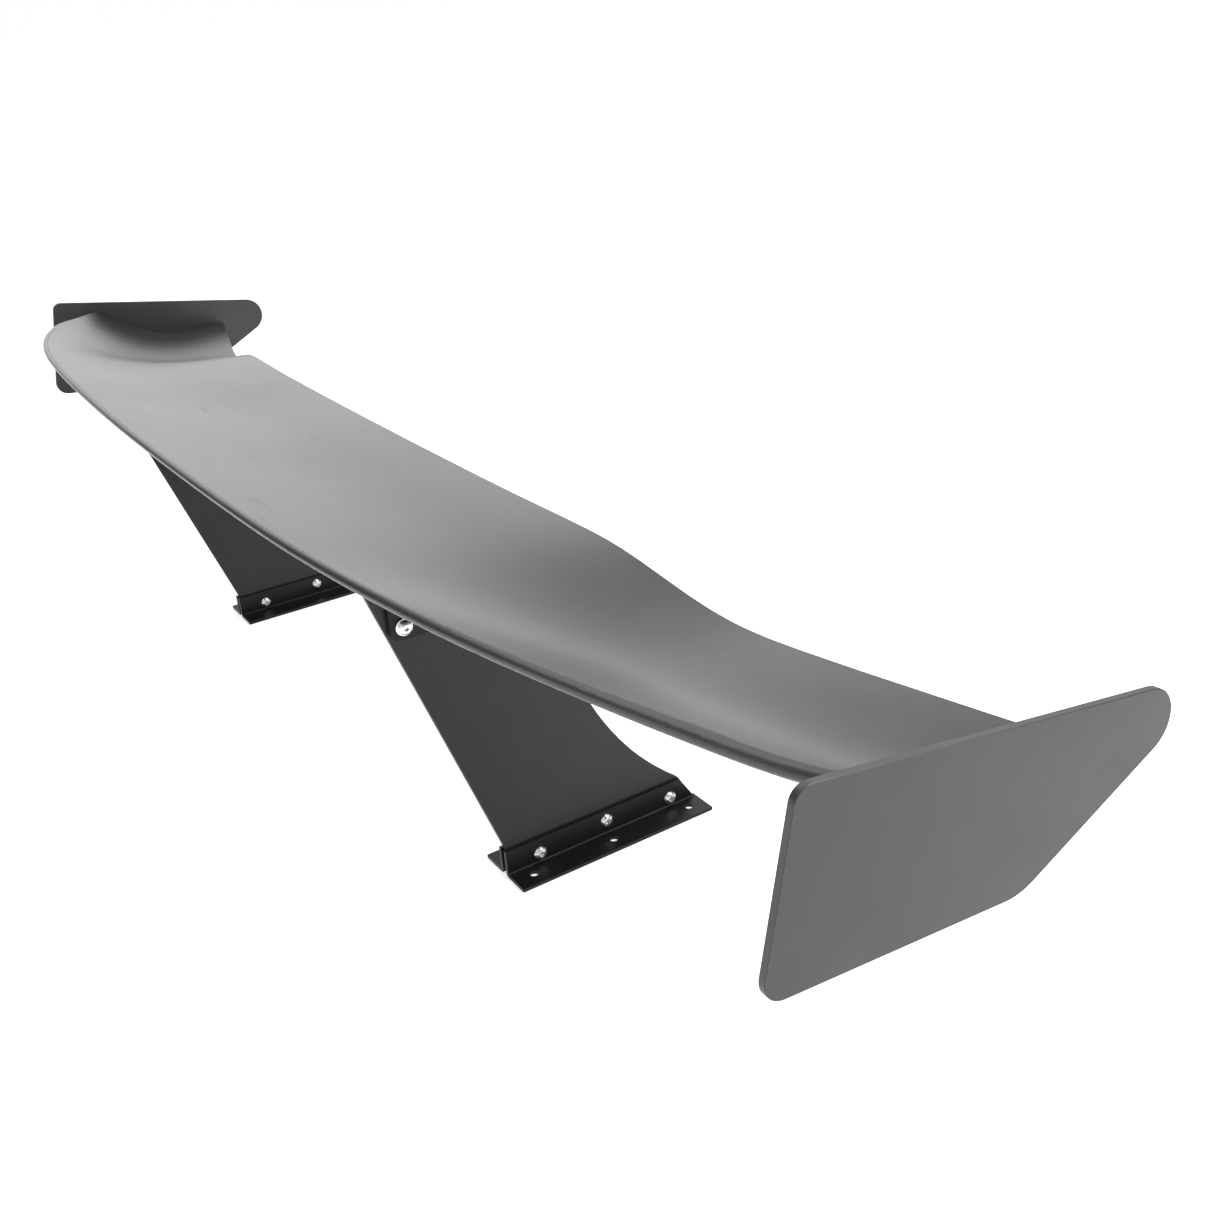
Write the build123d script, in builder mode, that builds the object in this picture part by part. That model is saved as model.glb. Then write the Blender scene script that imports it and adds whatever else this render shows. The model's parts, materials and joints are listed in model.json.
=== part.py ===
"""Rear wing: gull-shaped two-skin blade, flat endplates, plate legs on sandwich foot brackets, tilting blade.

Frame: +X to the car's left, +Y rearward, +Z up; z = 0 under the foot flanges, x = y = 0 mid-part.
"""
import os
from math import cos, hypot, radians, sin

from build123d import *

os.makedirs("parts", exist_ok=True)

# ---------------------------------------------------------------- driving dimensions, mm
Y0 = -36.4  # front end of the foot brackets; every y below is measured from here

LEG_X = 320.0  # middle plane of each leg
LEG_T = 5.0
LEG_FRONT_FOOT = (10.4, 0.5)
LEG_FRONT_TOP = (-83.6, 283.0)
LEG_REAR_TOP = (64.0, 255.0)
LEG_REAR_MID = (113.5, 87.0)
LEG_REAR_LOW = (170.6, 25.2)
LEG_REAR_FOOT = (184.8, 0.5)
LEG_FRONT_R = 5.0  # corner radii at the top of the leg
LEG_REAR_R = 8.0

BRACKET_T = 3.0
BRACKET_H = 24.5
BRACKET_L = 185.5
BRACKET_TOP_L = 170.0
FLANGE_W = 27.5  # from the leg's face to the flange's edge
FOLD_R = 3.0  # outside of the fold
FOLD_IN_R = 1.5
FOOT_BOLTS = ((30.6, 10.8), (94.8, 15.2), (158.8, 10.8))
MOUNT_HOLES = (17.5, 94.0, 170.5)
MOUNT_HOLE_IN = 14.2  # from the leg's face to the hole line
MOUNT_HOLE_R = 3.65

PIVOT = (-56.0, 243.0)
ADJUST_R = 90.0  # from the pivot to the adjusting bolt
ADJUST_REST = -9.5  # degrees above the horizontal
TRAVEL = 12.0
SLOT_HALF = 3.3

M6_LOOSE_R = 3.2  # clearance holes
M6_SNUG_R = 3.05
M5_LOOSE_R = 2.7
M4_LOOSE_R = 2.2
M5_TAP_R = 2.52  # holes the screws bite in
M4_TAP_R = 2.02

LUG_GAP = 0.05
LUG_T = 4.0
PAD_T = 5.0
PAD_OUT = 352.0
LUG_OUTLINE = ((-66.5, 300.0), (-66.5, 233.0), (-36.0, 233.0), (20.0, 217.0), (43.0, 217.0), (47.0, 281.0))
LUG_FRONT_R = 7.0
LUG_REAR_R = 9.0

CLIP_T = 3.0
CLIP_PAD_T = 4.0
CLIP_X0 = 716.0
CLIP_OUTLINE = ((44.0, 255.0), (44.0, 205.0), (126.0, 205.0), (126.0, 238.0))
CLIP_R = 6.0

SKIN = 2.0
SPAN_HALF = 735.0
PLATE_T = 5.0
SEAM_GAP = 0.3
PLATE_CORNERS = ((-46.5, 312.6), (270.0, 263.0), (108.5, 179.6), (-70.3, 196.9))
PLATE_RADII = (10.0, 21.5, 40.0, 14.0)
PLATE_CHAMFER = 0.4
CLIP_Y = (58.0, 112.0)
CLIP_Z = 214.0

BLOCK_X = (312.0, 354.0)  # insert block that the lug's screws bite in
CENTRE_RIB_X = (-3.0, 3.0)
MID_RIB_X = (537.0, 543.0)
TIP_RIB_X = (717.0, 734.0)

# blade stations: half-span, front edge y and z, rear edge y and z, depth of the hollow top,
# nose radius, how far the slimmer outer section has blended in
STATIONS = (
    (0.0, -150.5, 338.0, 70.5, 290.8, 9.0, 2.8, 0.0),
    (150.0, -147.0, 335.8, 73.2, 289.2, 9.0, 2.8, 0.0),
    (270.0, -140.4, 332.2, 77.4, 287.5, 9.5, 2.9, 0.0),
    (340.0, -134.1, 329.3, 83.0, 284.9, 11.0, 3.0, 0.0),
    (380.0, -128.9, 327.4, 87.6, 280.9, 12.5, 3.1, 0.2),
    (420.0, -122.3, 325.2, 93.0, 272.0, 14.0, 3.3, 0.6),
    (460.0, -114.2, 322.7, 99.5, 260.9, 15.5, 3.5, 0.9),
    (500.0, -104.4, 319.7, 107.0, 253.2, 17.0, 3.8, 1.0),
    (550.0, -89.3, 315.2, 118.4, 250.2, 18.3, 4.2, 1.0),
    (600.0, -70.8, 309.2, 131.2, 248.9, 19.2, 4.6, 1.0),
    (660.0, -43.6, 299.6, 147.3, 247.6, 20.0, 5.0, 1.0),
    (705.0, -21.0, 293.2, 158.9, 247.0, 20.5, 5.2, 1.0),
    (735.0, 3.8, 288.9, 166.0, 247.0, 21.0, 5.4, 1.0),
)
FRACTIONS = (0.10, 0.30, 0.52, 0.75, 0.90)
HOLLOW = (0.24, 0.78, 1.00, 0.66, 0.27)
THICK = (13.0, 19.0, 17.5, 11.0, 6.2)
SLIM = (0.2, 0.18, 0.1, 0.0, 0.0)  # share of the thickness that the outer section loses
EDGE_T = 2.8
CHORD_REF = 226.0


# ---------------------------------------------------------------- blade sections
def frame_of(st):
    chord = hypot(st[3] - st[1], st[4] - st[2])
    uy = (st[3] - st[1]) / chord
    uz = (st[4] - st[2]) / chord

    def at(s, h):
        return (Y0 + st[1] + s * uy - h * uz, st[2] + s * uz + h * uy)

    return chord, at


def top_h(st, k):
    t = FRACTIONS[k]
    return 0.9 * st[6] * (1 - t) + 0.5 * EDGE_T * t - st[5] * HOLLOW[k]


def low_h(st, k, chord):
    return top_h(st, k) - (1 - SLIM[k] * st[7]) * THICK[k] * chord / CHORD_REF


def top_line(st):
    chord, at = frame_of(st)
    r = st[6]
    pts = [at(r + 1.0 + SEAM_GAP, 0.92 * r)]
    pts += [at(FRACTIONS[k] * chord, top_h(st, k)) for k in range(5)]
    return pts + [at(chord, 0.5 * EDGE_T)]


def top_inner(st):
    chord, at = frame_of(st)
    r = st[6]
    pts = [at(r + 1.0 + SEAM_GAP, 0.92 * r - SKIN)]
    pts += [at(FRACTIONS[k] * chord, top_h(st, k) - SKIN) for k in range(5)]
    return pts + [at(chord, 0.1)]


def nose_and_low(st):
    chord, at = frame_of(st)
    r = st[6]
    pts = [
        at(r + 1.0, 0.92 * r),
        at(0.36 * r, 0.72 * r),
        at(0.0, 0.0),
        at(0.42 * r, -0.78 * r),
        at(1.7 * r, -1.35 * r),
    ]
    pts += [at(FRACTIONS[k] * chord, low_h(st, k, chord)) for k in range(5)]
    return pts + [at(chord, -0.5 * EDGE_T)]


def low_inner(st):
    chord, at = frame_of(st)
    r = st[6]
    pts = [
        at(r + 1.0, 0.92 * r - SKIN),
        at(0.92 * r, -0.25 * r),
        at(1.8 * r + 0.5, -1.35 * r + SKIN),
    ]
    pts += [at(FRACTIONS[k] * chord, low_h(st, k, chord) + SKIN) for k in range(5)]
    return pts + [at(chord, -0.1)]


def spline_edge(pts, params):
    return Edge.make_spline([Vector(p[0], p[1]) for p in pts], parameters=params)


def params_of(maker):
    """Chord-length spacing of the middle station, used by every station so the loft stays light."""
    pts = maker(STATIONS[5])
    run = [0.0]
    for a, b in zip(pts, pts[1:]):
        run.append(run[-1] + hypot(b[0] - a[0], b[1] - a[1]))
    return [v / run[-1] for v in run]


def band(outer, inner):
    """Loft of the band between two lines of the section, tip to tip."""
    po = params_of(outer)
    pi = params_of(inner)
    both = [(-s[0], s) for s in reversed(STATIONS[1:])] + [(s[0], s) for s in STATIONS]
    with BuildPart() as solid:
        for x, st in both:
            a = outer(st)
            b = inner(st)
            with BuildSketch(Plane.YZ.offset(x)):
                with BuildLine():
                    add(spline_edge(a, po))
                    Line(a[-1], b[-1])
                    add(spline_edge(b, pi))
                    if a[0] != b[0]:
                        Line(b[0], a[0])
                make_face()
        loft()
    return solid.part


def cavity_top(st):
    chord, at = frame_of(st)
    return [at(FRACTIONS[k] * chord, top_h(st, k) - 0.5 * SKIN) for k in range(4)]


def cavity_low(st):
    chord, at = frame_of(st)
    return [at(FRACTIONS[k] * chord, low_h(st, k, chord) + 0.5 * SKIN) for k in range(4)]


def outer_top(st):
    chord, at = frame_of(st)
    return [at(st[6] + 1.0, 0.92 * st[6])] + top_line(st)[1:]


envelope = band(outer_top, nose_and_low)
cavity = band(cavity_top, cavity_low)
top_shell = band(top_line, top_inner)
low_shell = band(nose_and_low, low_inner)


def slab(x0, x1):
    """Filling of the hollow between the skins, from x0 to x1."""
    with BuildPart() as piece:
        add(cavity)
        with Locations((0.5 * (x0 + x1), 0, 270)):
            Box(x1 - x0, 900, 400, mode=Mode.INTERSECT)
        add(top_shell, mode=Mode.SUBTRACT)
        add(low_shell, mode=Mode.SUBTRACT)
    return piece.part.solids().sort_by(SortBy.VOLUME)[-1]


def placed(part, spots):
    """Copies of a fastener, moved to each spot; a spot is a point and a rotation."""
    with BuildPart() as group:
        for spot, turn in spots:
            add(part.moved(Location(spot, turn)))
    return group.part


# ---------------------------------------------------------------- fasteners, axis +Z, seat at z = 0
def button_bolt(shank_r, shank_l, head_r, head_h, socket):
    with BuildPart() as bolt:
        with Locations((0, 0, -shank_l)):
            Cylinder(shank_r, shank_l, align=(Align.CENTER, Align.CENTER, Align.MIN))
        chamfer(bolt.edges().sort_by(Axis.Z)[0], 0.5)
        with BuildSketch(Plane.XZ):
            with BuildLine():
                Line((0, 0), (head_r, 0))
                Line((head_r, 0), (head_r, 0.25 * head_h))
                ThreePointArc(
                    (head_r, 0.25 * head_h), (0.82 * head_r, 0.72 * head_h), (0.48 * head_r, head_h)
                )
                Line((0.48 * head_r, head_h), (0, head_h))
                Line((0, head_h), (0, 0))
            make_face()
        revolve(axis=Axis.Z)
        with BuildSketch(Plane.XY.offset(head_h)):
            RegularPolygon(socket / 2, 6, major_radius=False)
        extrude(amount=-0.6 * head_h, mode=Mode.SUBTRACT)
    return bolt.part


def washer(bore_r, outer_r, thick):
    with BuildPart() as ring:
        Cylinder(outer_r, thick, align=(Align.CENTER, Align.CENTER, Align.MIN))
        Cylinder(bore_r, thick, align=(Align.CENTER, Align.CENTER, Align.MIN), mode=Mode.SUBTRACT)
        chamfer(ring.edges().filter_by(GeomType.CIRCLE).sort_by(SortBy.RADIUS)[-2:], 0.25)
    return ring.part


def lock_nut(bore_r, flats, hex_h, collar_h):
    with BuildPart() as nut:
        with BuildSketch():
            RegularPolygon(flats / 2, 6, major_radius=False)
        extrude(amount=hex_h)
        with Locations((0, 0, hex_h)):
            Cylinder(0.43 * flats, collar_h, align=(Align.CENTER, Align.CENTER, Align.MIN))
        fillet(nut.faces().sort_by(Axis.Z)[-1].edges(), 0.8)
        Cylinder(
            bore_r, hex_h + collar_h, align=(Align.CENTER, Align.CENTER, Align.MIN), mode=Mode.SUBTRACT
        )
    return nut.part


TO_LEFT = (0, 90, 0)
TO_RIGHT = (0, -90, 0)
DOWN = (180, 0, 0)

# ---------------------------------------------------------------- legs
ADJUST = (
    PIVOT[0] + ADJUST_R * cos(radians(ADJUST_REST)),
    PIVOT[1] + ADJUST_R * sin(radians(ADJUST_REST)),
)


def yz(p):
    return (Y0 + p[0], p[1])


def leg(x_mid):
    with BuildPart() as plate:
        with BuildSketch(Plane.YZ.offset(x_mid - LEG_T / 2)) as outline:
            with BuildLine():
                Line(yz(LEG_FRONT_FOOT), yz(LEG_FRONT_TOP))
                Line(yz(LEG_FRONT_TOP), yz(LEG_REAR_TOP))
                ThreePointArc(yz(LEG_REAR_TOP), yz(LEG_REAR_MID), yz(LEG_REAR_LOW))
                Line(yz(LEG_REAR_LOW), yz(LEG_REAR_FOOT))
                Line(yz(LEG_REAR_FOOT), yz(LEG_FRONT_FOOT))
            make_face()
            fillet(outline.vertices().sort_by_distance(yz(LEG_FRONT_TOP))[0], LEG_FRONT_R)
            fillet(outline.vertices().sort_by_distance(yz(LEG_REAR_TOP))[0], LEG_REAR_R)
            with Locations(*[yz(p) for p in FOOT_BOLTS]):
                Circle(M6_LOOSE_R, mode=Mode.SUBTRACT)
            with Locations(yz(PIVOT)):
                Circle(M6_SNUG_R, mode=Mode.SUBTRACT)
            with BuildLine() as sweep_arc:
                CenterArc(yz(PIVOT), ADJUST_R, ADJUST_REST, TRAVEL)
            SlotArc(sweep_arc.edges()[0], 2 * SLOT_HALF, mode=Mode.SUBTRACT)
        extrude(amount=LEG_T)
    return plate.part


with BuildPart() as leg_left:
    add(leg(LEG_X))
with BuildPart() as leg_right:
    add(leg(-LEG_X))


# ---------------------------------------------------------------- foot brackets
def bracket(face_x, out, holes):
    """Folded angle against the leg's face at face_x; out is +1 or -1, the way its flange points."""
    with BuildPart() as angle:
        with BuildSketch(Plane.XZ.offset(-Y0)) as profile:
            with BuildLine():
                Polyline(
                    (face_x, 0),
                    (face_x + out * FLANGE_W, 0),
                    (face_x + out * FLANGE_W, BRACKET_T),
                    (face_x + out * BRACKET_T, BRACKET_T),
                    (face_x + out * BRACKET_T, BRACKET_H),
                    (face_x, BRACKET_H),
                    close=True,
                )
            make_face()
            inner = profile.vertices().sort_by_distance((face_x + out * BRACKET_T, BRACKET_T))[0]
            fillet(inner, FOLD_IN_R)
            heel = profile.vertices().sort_by_distance((face_x, 0))[0]
            fillet(heel, FOLD_R)
        extrude(amount=-BRACKET_L)
        with BuildSketch(Plane.YZ.offset(face_x)):
            with BuildLine():
                Polyline(
                    (Y0 + BRACKET_TOP_L, BRACKET_H),
                    (Y0 + BRACKET_L, BRACKET_H),
                    (Y0 + BRACKET_L, BRACKET_T),
                    (Y0 + BRACKET_L - 1.8, BRACKET_T),
                    close=True,
                )
            make_face()
        extrude(amount=out * 2 * BRACKET_T, mode=Mode.SUBTRACT)
        with BuildSketch(Plane.YZ.offset(face_x)):
            with Locations(*[yz(p) for p in FOOT_BOLTS]):
                Circle(M6_LOOSE_R)
        extrude(amount=out * BRACKET_T, mode=Mode.SUBTRACT)
        if holes:
            with BuildSketch(Plane.XY):
                with Locations(*[(face_x + out * MOUNT_HOLE_IN, Y0 + y) for y in MOUNT_HOLES]):
                    Circle(MOUNT_HOLE_R)
            extrude(amount=BRACKET_T, mode=Mode.SUBTRACT)
    return angle.part


FACE = LEG_T / 2
with BuildPart() as bracket_left_outer:
    add(bracket(LEG_X + FACE, 1, True))
with BuildPart() as bracket_left_inner:
    add(bracket(LEG_X - FACE, -1, False))
with BuildPart() as bracket_right_outer:
    add(bracket(-LEG_X - FACE, -1, True))
with BuildPart() as bracket_right_inner:
    add(bracket(-LEG_X + FACE, 1, False))

# ---------------------------------------------------------------- foot fasteners, all heads on the left
m6_foot = button_bolt(3.0, 20.5, 6.0, 3.3, 4.0)
m6_washer = washer(3.2, 6.2, 1.2)
m6_nut = lock_nut(3.02, 10.0, 5.0, 1.6)
STACK = FACE + BRACKET_T
foot_points = [(x, Y0 + p[0], p[1]) for x in (-LEG_X, LEG_X) for p in FOOT_BOLTS]

with BuildPart() as foot_bolts:
    add(placed(m6_foot, [((x + STACK, y, z), TO_LEFT) for x, y, z in foot_points]))
with BuildPart() as foot_washers:
    add(placed(m6_washer, [((x - STACK, y, z), TO_RIGHT) for x, y, z in foot_points]))
with BuildPart() as foot_nuts:
    add(placed(m6_nut, [((x - STACK - 1.2, y, z), TO_RIGHT) for x, y, z in foot_points]))

# ---------------------------------------------------------------- lugs under the blade
LUG_X0 = LEG_X + FACE + LUG_GAP
LUG_X1 = LUG_X0 + LUG_T
SCREW_X = 341.0
SCREW_FRACTIONS = (0.36, 0.50, 0.64)


def low_point(st, t):
    """Point of the underside at fraction t of the chord, between the listed fractions."""
    chord, at = frame_of(st)
    marks = FRACTIONS
    k = max(i for i in range(4) if marks[i] <= t)
    w = (t - marks[k]) / (marks[k + 1] - marks[k])
    h = (1 - w) * low_h(st, k, chord) + w * low_h(st, k + 1, chord)
    return at(t * chord, h)


lug_screw_spots = [low_point(STATIONS[3], t) for t in SCREW_FRACTIONS]

# the pad follows the blade's underside: the blade's own shape, lowered, cut to the pad's outline
with BuildPart() as lug_pad:
    add(envelope.moved(Location((0, 0, -PAD_T))))
    with Locations((0.5 * (LUG_X0 + PAD_OUT), Y0 - 8.0, 280)):
        Box(PAD_OUT - LUG_X0, 112.0, 120, mode=Mode.INTERSECT)

with BuildPart() as lug_left:
    with BuildSketch(Plane.YZ.offset(LUG_X0)) as lug_outline:
        with BuildLine():
            Polyline(*[yz(p) for p in LUG_OUTLINE], close=True)
        make_face()
        fillet(lug_outline.vertices().sort_by_distance(yz(LUG_OUTLINE[1]))[0], LUG_FRONT_R)
        fillet(lug_outline.vertices().sort_by_distance(yz(LUG_OUTLINE[4]))[0], LUG_REAR_R)
        with Locations(yz(PIVOT), yz(ADJUST)):
            Circle(M6_SNUG_R, mode=Mode.SUBTRACT)
    extrude(amount=LUG_T)
    add(lug_pad.part)
    add(envelope, mode=Mode.SUBTRACT)
    for y, z in lug_screw_spots:
        with Locations((SCREW_X, y, z - PAD_T - 1.5)):
            Cylinder(5.4, 20, align=(Align.CENTER, Align.CENTER, Align.MAX), mode=Mode.SUBTRACT)
            Cylinder(M5_LOOSE_R, 30, mode=Mode.SUBTRACT)
with BuildPart() as lug_right:
    mirror(lug_left.part, about=Plane.YZ)

# ---------------------------------------------------------------- pivot and adjusting fasteners
m6_pivot = button_bolt(3.0, 21.0, 5.6, 3.3, 4.0)
m6_pivot_washer = washer(3.05, 6.6, 1.4)
HEAD_X = LUG_X1 + LUG_GAP
NUT_X = LEG_X - FACE


def both_sides(point, x_left, left_turn, right_turn):
    y, z = yz(point)
    return [((x_left, y, z), left_turn), ((-x_left, y, z), right_turn)]


with BuildPart() as pivot_bolts:
    add(placed(m6_pivot, both_sides(PIVOT, HEAD_X + 1.4, TO_LEFT, TO_RIGHT)))
with BuildPart() as pivot_washers:
    add(placed(m6_pivot_washer, both_sides(PIVOT, HEAD_X, TO_LEFT, TO_RIGHT)))
    add(placed(m6_pivot_washer, both_sides(PIVOT, NUT_X, TO_RIGHT, TO_LEFT)))
with BuildPart() as pivot_nuts:
    add(placed(m6_nut, both_sides(PIVOT, NUT_X - 1.4, TO_RIGHT, TO_LEFT)))
with BuildPart() as adjust_bolts:
    add(placed(m6_pivot, both_sides(ADJUST, LUG_X1 + 1.4, TO_LEFT, TO_RIGHT)))
with BuildPart() as adjust_washers:
    add(placed(m6_pivot_washer, both_sides(ADJUST, LUG_X1, TO_LEFT, TO_RIGHT)))
    add(placed(m6_pivot_washer, both_sides(ADJUST, NUT_X - LUG_GAP, TO_RIGHT, TO_LEFT)))
with BuildPart() as adjust_nuts:
    add(placed(m6_nut, both_sides(ADJUST, NUT_X - LUG_GAP - 1.4, TO_RIGHT, TO_LEFT)))

# ---------------------------------------------------------------- endplates
def endplate(x0):
    with BuildPart() as plate:
        with BuildSketch(Plane.YZ.offset(x0)) as outline:
            with BuildLine():
                Polyline(*[yz(p) for p in PLATE_CORNERS], close=True)
            make_face()
            for p, r in zip(PLATE_CORNERS, PLATE_RADII):
                fillet(outline.vertices().sort_by_distance(yz(p))[0], r)
        extrude(amount=PLATE_T)
        rim = plate.edges().filter_by(lambda e: e.length > 3 and abs(e.tangent_at(0.5).X) < 0.01)
        chamfer(rim, PLATE_CHAMFER)
    return plate.part


with BuildPart() as endplate_left:
    add(endplate(SPAN_HALF))
    with BuildSketch(Plane.YZ.offset(SPAN_HALF)):
        with Locations(*[yz((y, CLIP_Z)) for y in CLIP_Y]):
            Circle(M4_TAP_R)
    extrude(amount=4.0, mode=Mode.SUBTRACT)
with BuildPart() as endplate_right:
    mirror(endplate_left.part, about=Plane.YZ)

# ---------------------------------------------------------------- tip clips
CLIP_SCREW_X = 723.0
clip_spots = [low_point(STATIONS[11], t) for t in (0.44, 0.62)]

with BuildPart() as clip_pad:
    add(envelope.moved(Location((0, 0, -CLIP_PAD_T))))
    with Locations((0.5 * (CLIP_X0 + SPAN_HALF), Y0 + 85.0, 250)):
        Box(SPAN_HALF - CLIP_X0, 82.0, 120, mode=Mode.INTERSECT)

with BuildPart() as tip_clip_left:
    with BuildSketch(Plane.YZ.offset(SPAN_HALF - CLIP_T)) as clip_outline:
        with BuildLine():
            Polyline(*[yz(p) for p in CLIP_OUTLINE], close=True)
        make_face()
        fillet(clip_outline.vertices().group_by(Axis.Y)[0], CLIP_R)
        with Locations(*[yz((y, CLIP_Z)) for y in CLIP_Y]):
            Circle(M4_LOOSE_R, mode=Mode.SUBTRACT)
    extrude(amount=CLIP_T)
    add(clip_pad.part)
    add(envelope, mode=Mode.SUBTRACT)
    add(low_shell, mode=Mode.SUBTRACT)
    for y, z in clip_spots:
        with Locations((CLIP_SCREW_X, y, z - 5.0)):
            Cylinder(4.2, 20, align=(Align.CENTER, Align.CENTER, Align.MAX), mode=Mode.SUBTRACT)
            Cylinder(M4_LOOSE_R, 30, mode=Mode.SUBTRACT)
with BuildPart() as tip_clip_right:
    mirror(tip_clip_left.part, about=Plane.YZ)

m5_screw = button_bolt(2.5, 15.0, 4.75, 2.75, 3.0)
m4_screw = button_bolt(2.0, 11.5, 3.8, 2.2, 2.5)
m4_short = button_bolt(2.0, 6.5, 3.8, 2.2, 2.5)
with BuildPart() as lug_screws:
    for side in (1, -1):
        seats = [((side * SCREW_X, y, z - PAD_T - 1.5), DOWN) for y, z in lug_screw_spots]
        add(placed(m5_screw, seats))
with BuildPart() as clip_rib_screws:
    for side in (1, -1):
        seats = [((side * CLIP_SCREW_X, y, z - 5.0), DOWN) for y, z in clip_spots]
        add(placed(m4_screw, seats))
with BuildPart() as clip_plate_screws:
    inner_x = SPAN_HALF - CLIP_T
    for side, turn in ((1, TO_RIGHT), (-1, TO_LEFT)):
        seats = [((side * inner_x, Y0 + y, CLIP_Z), turn) for y in CLIP_Y]
        add(placed(m4_short, seats))

# ---------------------------------------------------------------- blade skins and the pieces inside them
with BuildPart() as blade_top_skin:
    add(top_shell)
with BuildPart() as blade_lower_skin:
    add(low_shell)
    for side in (1, -1):
        for y, z in lug_screw_spots:
            with Locations((side * SCREW_X, y, z)):
                Cylinder(M5_LOOSE_R, 12, mode=Mode.SUBTRACT)
        for y, z in clip_spots:
            with Locations((side * CLIP_SCREW_X, y, z)):
                Cylinder(M4_LOOSE_R, 10, mode=Mode.SUBTRACT)


def drilled(block, spots, x, radius, depth):
    with BuildPart() as piece:
        add(block)
        for y, z in spots:
            with Locations((x, y, z)):
                Cylinder(
                    radius, depth, align=(Align.CENTER, Align.CENTER, Align.MIN), mode=Mode.SUBTRACT
                )
    return piece.part


with BuildPart() as mount_block_left:
    add(drilled(slab(*BLOCK_X), lug_screw_spots, SCREW_X, M5_TAP_R, 11.0))
with BuildPart() as mount_block_right:
    mirror(mount_block_left.part, about=Plane.YZ)
with BuildPart() as centre_rib:
    add(slab(*CENTRE_RIB_X))
with BuildPart() as mid_rib_left:
    add(slab(*MID_RIB_X))
with BuildPart() as mid_rib_right:
    mirror(mid_rib_left.part, about=Plane.YZ)
with BuildPart() as tip_rib_left:
    add(drilled(slab(*TIP_RIB_X), clip_spots, CLIP_SCREW_X, M4_TAP_R, 11.0))
with BuildPart() as tip_rib_right:
    mirror(tip_rib_left.part, about=Plane.YZ)

# ---------------------------------------------------------------- export
NODES = {
    "leg_left": leg_left,
    "leg_right": leg_right,
    "bracket_left_outer": bracket_left_outer,
    "bracket_left_inner": bracket_left_inner,
    "bracket_right_outer": bracket_right_outer,
    "bracket_right_inner": bracket_right_inner,
    "foot_bolts": foot_bolts,
    "foot_washers": foot_washers,
    "foot_nuts": foot_nuts,
    "pivot_bolts": pivot_bolts,
    "pivot_washers": pivot_washers,
    "pivot_nuts": pivot_nuts,
    "adjust_bolts": adjust_bolts,
    "adjust_washers": adjust_washers,
    "adjust_nuts": adjust_nuts,
    "lug_left": lug_left,
    "lug_right": lug_right,
    "lug_screws": lug_screws,
    "blade_top_skin": blade_top_skin,
    "blade_lower_skin": blade_lower_skin,
    "mount_block_left": mount_block_left,
    "mount_block_right": mount_block_right,
    "centre_rib": centre_rib,
    "mid_rib_left": mid_rib_left,
    "mid_rib_right": mid_rib_right,
    "tip_rib_left": tip_rib_left,
    "tip_rib_right": tip_rib_right,
    "tip_clip_left": tip_clip_left,
    "tip_clip_right": tip_clip_right,
    "clip_rib_screws": clip_rib_screws,
    "clip_plate_screws": clip_plate_screws,
    "endplate_left": endplate_left,
    "endplate_right": endplate_right,
}
for label, built in NODES.items():
    built.part.label = label
    export_step(built.part, f"parts/{label}.step")
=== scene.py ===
import json
from math import cos, radians, sin

import bpy
from mathutils import Matrix, Vector

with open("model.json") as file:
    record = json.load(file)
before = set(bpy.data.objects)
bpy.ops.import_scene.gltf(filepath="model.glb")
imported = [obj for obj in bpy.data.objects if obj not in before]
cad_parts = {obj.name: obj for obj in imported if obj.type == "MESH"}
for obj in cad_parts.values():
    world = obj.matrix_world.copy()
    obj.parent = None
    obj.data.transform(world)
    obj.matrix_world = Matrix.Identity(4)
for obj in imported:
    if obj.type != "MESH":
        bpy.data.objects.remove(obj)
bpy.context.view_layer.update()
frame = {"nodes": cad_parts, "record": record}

nodes = frame["nodes"]

# ---------------------------------------------------------------- numbers of the studio
FLOOR_HALF = 60.0
FLOOR_DROP = 0.0005  # the floor lies this far under the feet
FLOOR_GLOW, FLOOR_GLOW_FAR = 0.6, 1.1  # its own light near the wing and far away
FLOOR_GLOW_NEAR_R, FLOOR_GLOW_FAR_R = 1.5, 6.0
PLASTIC_IOR = 1.5
# the camera's three axes and its place, in the same frame as the wing
RIGHT = Vector((0.54464, 0.83581, -0.06923))
DOWN = Vector((0.34018, -0.29562, -0.89269))
AHEAD = Vector((-0.76658, 0.46264, -0.44533))
CAMERA_PLACE = Vector((1.12879, -0.40713, 0.64042))
LENS, SENSOR = 39.664, 36.0
SHIFT_X, SHIFT_Y = -0.0046, 0.0293


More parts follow.
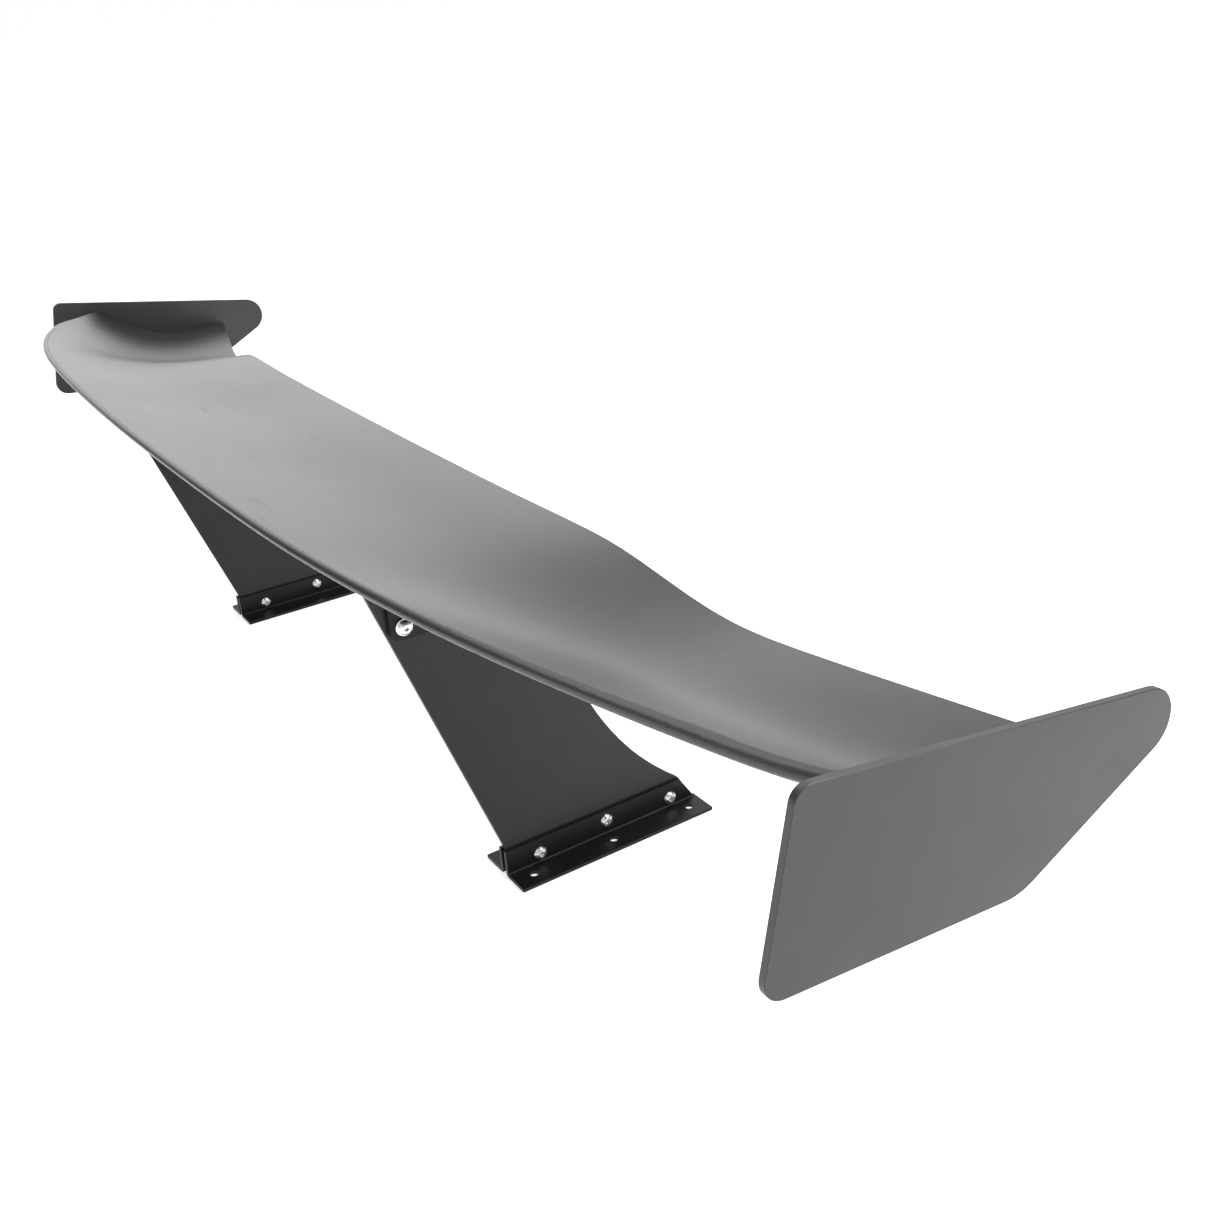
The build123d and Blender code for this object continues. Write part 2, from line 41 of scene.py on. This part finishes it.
# ---------------------------------------------------------------- node helpers
class Graph:
    """A material's node tree, with short ways to add and join nodes."""

    def __init__(self, name):
        self.mat = bpy.data.materials.new(name)
        self.mat.use_nodes = True
        self.tree = self.mat.node_tree
        self.tree.nodes.clear()
        self.out = self.tree.nodes.new("ShaderNodeOutputMaterial")
        self.bsdf = self.tree.nodes.new("ShaderNodeBsdfPrincipled")
        self.join(self.bsdf.outputs["BSDF"], self.out.inputs["Surface"])
        self.coord = self.tree.nodes.new("ShaderNodeTexCoord").outputs["Object"]

    def add(self, kind, **settings):
        node = self.tree.nodes.new(kind)
        for key, value in settings.items():
            setattr(node, key, value)
        return node

    def join(self, a, b):
        self.tree.links.new(a, b)

    def noise(self, scale, detail=3.0, rough=0.5, stretch=None):
        node = self.add("ShaderNodeTexNoise")
        node.inputs["Scale"].default_value = scale
        node.inputs["Detail"].default_value = detail
        node.inputs["Roughness"].default_value = rough
        if stretch:
            mapping = self.add("ShaderNodeMapping")
            mapping.inputs["Scale"].default_value = stretch
            self.join(self.coord, mapping.inputs["Vector"])
            self.join(mapping.outputs["Vector"], node.inputs["Vector"])
        else:
            self.join(self.coord, node.inputs["Vector"])
        return node.outputs["Fac"]

    def span(self, value, low, high, from_low=0.3, from_high=0.7):
        node = self.add("ShaderNodeMapRange")
        node.inputs["From Min"].default_value = from_low
        node.inputs["From Max"].default_value = from_high
        node.inputs["To Min"].default_value = low
        node.inputs["To Max"].default_value = high
        self.join(value, node.inputs["Value"])
        return node.outputs["Result"]

    def blend(self, fac, a, b):
        node = self.add("ShaderNodeMix", data_type="RGBA")
        self.join(fac, node.inputs["Factor"])
        for value, socket in ((a, node.inputs[6]), (b, node.inputs[7])):
            if isinstance(value, tuple):
                socket.default_value = (*value, 1.0)
            else:
                self.join(value, socket)
        return node.outputs[2]

    def bump(self, layers):
        """layers: (height, strength, distance) from coarse to fine."""
        normal = None
        for height, strength, distance in layers:
            node = self.add("ShaderNodeBump")
            node.inputs["Strength"].default_value = strength
            node.inputs["Distance"].default_value = distance
            self.join(height, node.inputs["Height"])
            if normal:
                self.join(normal, node.inputs["Normal"])
            normal = node.outputs["Normal"]
        self.join(normal, self.bsdf.inputs["Normal"])

    def set(self, **values):
        for key, value in values.items():
            self.bsdf.inputs[key.replace("_", " ")].default_value = value


def moulded_plastic(name, dark, light, rough_low, rough_high, grain):
    """Satin moulded plastic: faint clouding, fine grain, a few rubbed marks that change only the gloss."""
    g = Graph(name)
    tone = g.blend(g.span(g.noise(7.0, 2.0), 0.0, 1.0), dark, light)
    speck = g.blend(g.span(g.noise(1400.0, 1.0), 0.0, 0.5, 0.55, 0.8), tone, tuple(1.6 * c for c in light))
    g.join(speck, g.bsdf.inputs["Base Color"])
    slow = g.span(g.noise(5.0, 3.0), rough_low, rough_high)
    rub = g.span(g.noise(16.0, 5.0, 0.65, (1.0, 6.0, 6.0)), 0.0, 0.05, 0.62, 0.75)
    total = g.add("ShaderNodeMath", operation="ADD")
    g.join(slow, total.inputs[0])
    g.join(rub, total.inputs[1])
    g.join(total.outputs["Value"], g.bsdf.inputs["Roughness"])
    g.bump(((g.noise(1500.0, 2.0), grain, 0.0002),))
    g.set(IOR=PLASTIC_IOR)
    return g.mat


def powder_coat(name, dark, light, rough_low, rough_high, peel, shine):
    """Powder coat on sheet metal: orange peel at about a millimetre and a fine fleck."""
    g = Graph(name)
    tone = g.blend(g.span(g.noise(11.0, 3.0), 0.0, 1.0), dark, light)
    speck = g.blend(g.span(g.noise(2600.0, 1.0), 0.0, 0.4, 0.5, 0.8), tone, tuple(1.8 * c for c in light))
    g.join(speck, g.bsdf.inputs["Base Color"])
    g.join(g.span(g.noise(30.0, 3.0), rough_low, rough_high), g.bsdf.inputs["Roughness"])
    g.bump(((g.noise(650.0, 2.0), peel, 0.0002), (g.noise(3000.0, 1.0), 0.1, 0.0001)))
    g.set(IOR=PLASTIC_IOR, Specular_IOR_Level=shine)
    return g.mat


def stainless(name, tone, rough_low, rough_high):
    """Machined stainless steel: fine turning marks and small changes of tint."""
    g = Graph(name)
    marks = g.noise(2400.0, 2.0, 0.6, (1.0, 0.35, 0.35))
    shade = g.span(g.noise(300.0, 2.0), 0.0, 1.0)
    tint = g.blend(shade, tuple(0.86 * c for c in tone), tuple(1.06 * c for c in tone))
    g.join(tint, g.bsdf.inputs["Base Color"])
    g.join(g.span(marks, rough_low, rough_high), g.bsdf.inputs["Roughness"])
    g.bump(((marks, 0.12, 0.0001),))
    g.set(Metallic=1.0)
    return g.mat


blade_mat = moulded_plastic(
    "blade_satin_black", (0.021, 0.021, 0.0215), (0.026, 0.026, 0.0265), 0.29, 0.33, 0.06
)
core_mat = moulded_plastic("core_black", (0.045, 0.045, 0.045), (0.06, 0.06, 0.06), 0.5, 0.6, 0.3)
plate_mat = powder_coat(
    "endplate_satin_black", (0.018, 0.018, 0.0185), (0.023, 0.023, 0.0235), 0.36, 0.42, 0.1, 0.5
)
# the legs use the endplates' satin black coat; their darker base colour and lower shine are painted shade
# for their place under the wing
leg_mat_painted_shade = powder_coat(
    "leg_satin_black_painted_shade", (0.011, 0.011, 0.0115), (0.015, 0.015, 0.0155), 0.34, 0.4, 0.12, 0.3
)
# the brackets use the same satin black coat; their much darker base colour and lower shine are painted
# shade for their place deep under the wing
bracket_mat_painted_shade = powder_coat(
    "bracket_satin_black_painted_shade", (0.006, 0.006, 0.0063), (0.009, 0.009, 0.0093), 0.34, 0.42, 0.2, 0.2
)
steel_mat = stainless("stainless", (0.72, 0.72, 0.7), 0.22, 0.36)
bright_mat = stainless("stainless_bright", (0.82, 0.82, 0.8), 0.16, 0.28)
oxide_mat = stainless("black_oxide", (0.12, 0.12, 0.125), 0.35, 0.5)

BY_SLOT = {
    "blade_plastic": blade_mat,
    "core_plastic": core_mat,
    "endplate_coat": plate_mat,
    "leg_coat": leg_mat_painted_shade,
    "bracket_coat": bracket_mat_painted_shade,
    "pivot_steel": bright_mat,
    "foot_steel": steel_mat,
    "screw_steel": oxide_mat,
}
SLOT_OF = {s["node"]: s["material_slot"] for s in frame["record"]["subparts"]}

for name, obj in nodes.items():
    slot = SLOT_OF[name]
    for entry in obj.material_slots:
        entry.link = "OBJECT"
        entry.material = BY_SLOT[slot]

# ---------------------------------------------------------------- floor, light and camera
floor_mesh = bpy.data.meshes.new("floor")
corners = [(x * FLOOR_HALF, y * FLOOR_HALF, 0.0) for x, y in ((-1, -1), (1, -1), (1, 1), (-1, 1))]
floor_mesh.from_pydata(corners, [], [(0, 1, 2, 3)])
floor = bpy.data.objects.new("floor", floor_mesh)
bpy.context.scene.collection.objects.link(floor)
floor.location.z = -FLOOR_DROP
g = Graph("floor_lit_white")
shade = g.span(g.noise(0.6, 2.0), 0.0, 1.0)
g.join(g.blend(shade, (0.8, 0.8, 0.8), (0.84, 0.84, 0.84)), g.bsdf.inputs["Base Color"])
g.set(Roughness=0.8)
g.bsdf.inputs["Emission Color"].default_value = (1.0, 1.0, 1.0, 1.0)
away = g.add("ShaderNodeVectorMath", operation="LENGTH")
g.join(g.coord, away.inputs[0])
glow = g.span(away.outputs["Value"], FLOOR_GLOW, FLOOR_GLOW_FAR, FLOOR_GLOW_NEAR_R, FLOOR_GLOW_FAR_R)
g.join(glow, g.bsdf.inputs["Emission Strength"])
floor_mesh.materials.append(g.mat)


class Sky:
    """The surroundings: white where the camera looks, soft bright walls for light and reflections."""

    def __init__(self, dim):
        self.world = bpy.data.worlds.new("studio")
        bpy.context.scene.world = self.world
        self.world.use_nodes = True
        self.tree = self.world.node_tree
        self.tree.nodes.clear()
        self.way = self.tree.nodes.new("ShaderNodeTexCoord").outputs["Generated"]
        self.total = None
        self.dim = dim

    def wall(self, azimuth, elevation, start, full, strength):
        """A bright soft patch around a direction; start and full are cosines of the angle from it."""
        az, el = radians(azimuth), radians(elevation)
        dot = self.tree.nodes.new("ShaderNodeVectorMath")
        dot.operation = "DOT_PRODUCT"
        dot.inputs[1].default_value = (cos(el) * cos(az), cos(el) * sin(az), sin(el))
        self.tree.links.new(self.way, dot.inputs[0])
        ramp = self.tree.nodes.new("ShaderNodeMapRange")
        ramp.interpolation_type = "SMOOTHSTEP"
        ramp.inputs["From Min"].default_value = start
        ramp.inputs["From Max"].default_value = full
        ramp.inputs["To Max"].default_value = strength
        self.tree.links.new(dot.outputs["Value"], ramp.inputs["Value"])
        plus = self.tree.nodes.new("ShaderNodeMath")
        plus.operation = "ADD"
        self.tree.links.new(ramp.outputs["Result"], plus.inputs[0])
        if self.total:
            self.tree.links.new(self.total, plus.inputs[1])
        else:
            plus.inputs[1].default_value = self.dim
        self.total = plus.outputs["Value"]

    def finish(self):
        lit = self.tree.nodes.new("ShaderNodeBackground")
        seen = self.tree.nodes.new("ShaderNodeBackground")
        seen.inputs["Color"].default_value = (1.0, 1.0, 1.0, 1.0)
        self.tree.links.new(self.total, lit.inputs["Strength"])
        lit.inputs["Color"].default_value = (1.0, 1.0, 1.0, 1.0)
        mix = self.tree.nodes.new("ShaderNodeMixShader")
        path = self.tree.nodes.new("ShaderNodeLightPath")
        out = self.tree.nodes.new("ShaderNodeOutputWorld")
        self.tree.links.new(path.outputs["Is Camera Ray"], mix.inputs["Fac"])
        self.tree.links.new(lit.outputs["Background"], mix.inputs[1])
        self.tree.links.new(seen.outputs["Background"], mix.inputs[2])
        self.tree.links.new(mix.outputs["Shader"], out.inputs["Surface"])


sky = Sky(dim=0.12)
sky.wall(azimuth=150, elevation=15, start=0.55, full=1.0, strength=1.6)
sky.wall(azimuth=0, elevation=20, start=0.3, full=1.0, strength=0.3)
sky.wall(azimuth=300, elevation=35, start=0.5, full=1.0, strength=0.6)
sky.finish()


def softbox(name, place, target, size, power):
    data = bpy.data.lights.new(name, "AREA")
    data.shape = "RECTANGLE"
    data.size, data.size_y = size
    data.energy = power
    obj = bpy.data.objects.new(name, data)
    bpy.context.scene.collection.objects.link(obj)
    obj.location = place
    obj.rotation_mode = "QUATERNION"
    obj.rotation_quaternion = (Vector(target) - Vector(place)).to_track_quat("-Z", "Y")
    return obj


softbox("overhead", (0.2, -0.3, 3.4), (0, 0, 0.2), (4.0, 4.0), 130.0)
softbox("near_floor", (1.9, 1.2, 1.6), (1.35, 0.5, 0.0), (0.8, 0.8), 30.0)

cam_data = bpy.data.cameras.new("camera")
cam = bpy.data.objects.new("camera", cam_data)
bpy.context.scene.collection.objects.link(cam)
turn = Matrix((RIGHT, -DOWN, -AHEAD)).transposed().to_4x4()
cam.matrix_world = Matrix.Translation(CAMERA_PLACE) @ turn
cam_data.sensor_width = SENSOR
cam_data.lens = LENS
cam_data.shift_x = SHIFT_X
cam_data.shift_y = SHIFT_Y
cam_data.clip_start, cam_data.clip_end = 0.02, 200.0
bpy.context.scene.camera = cam
bpy.context.scene.view_settings.view_transform = "Standard"
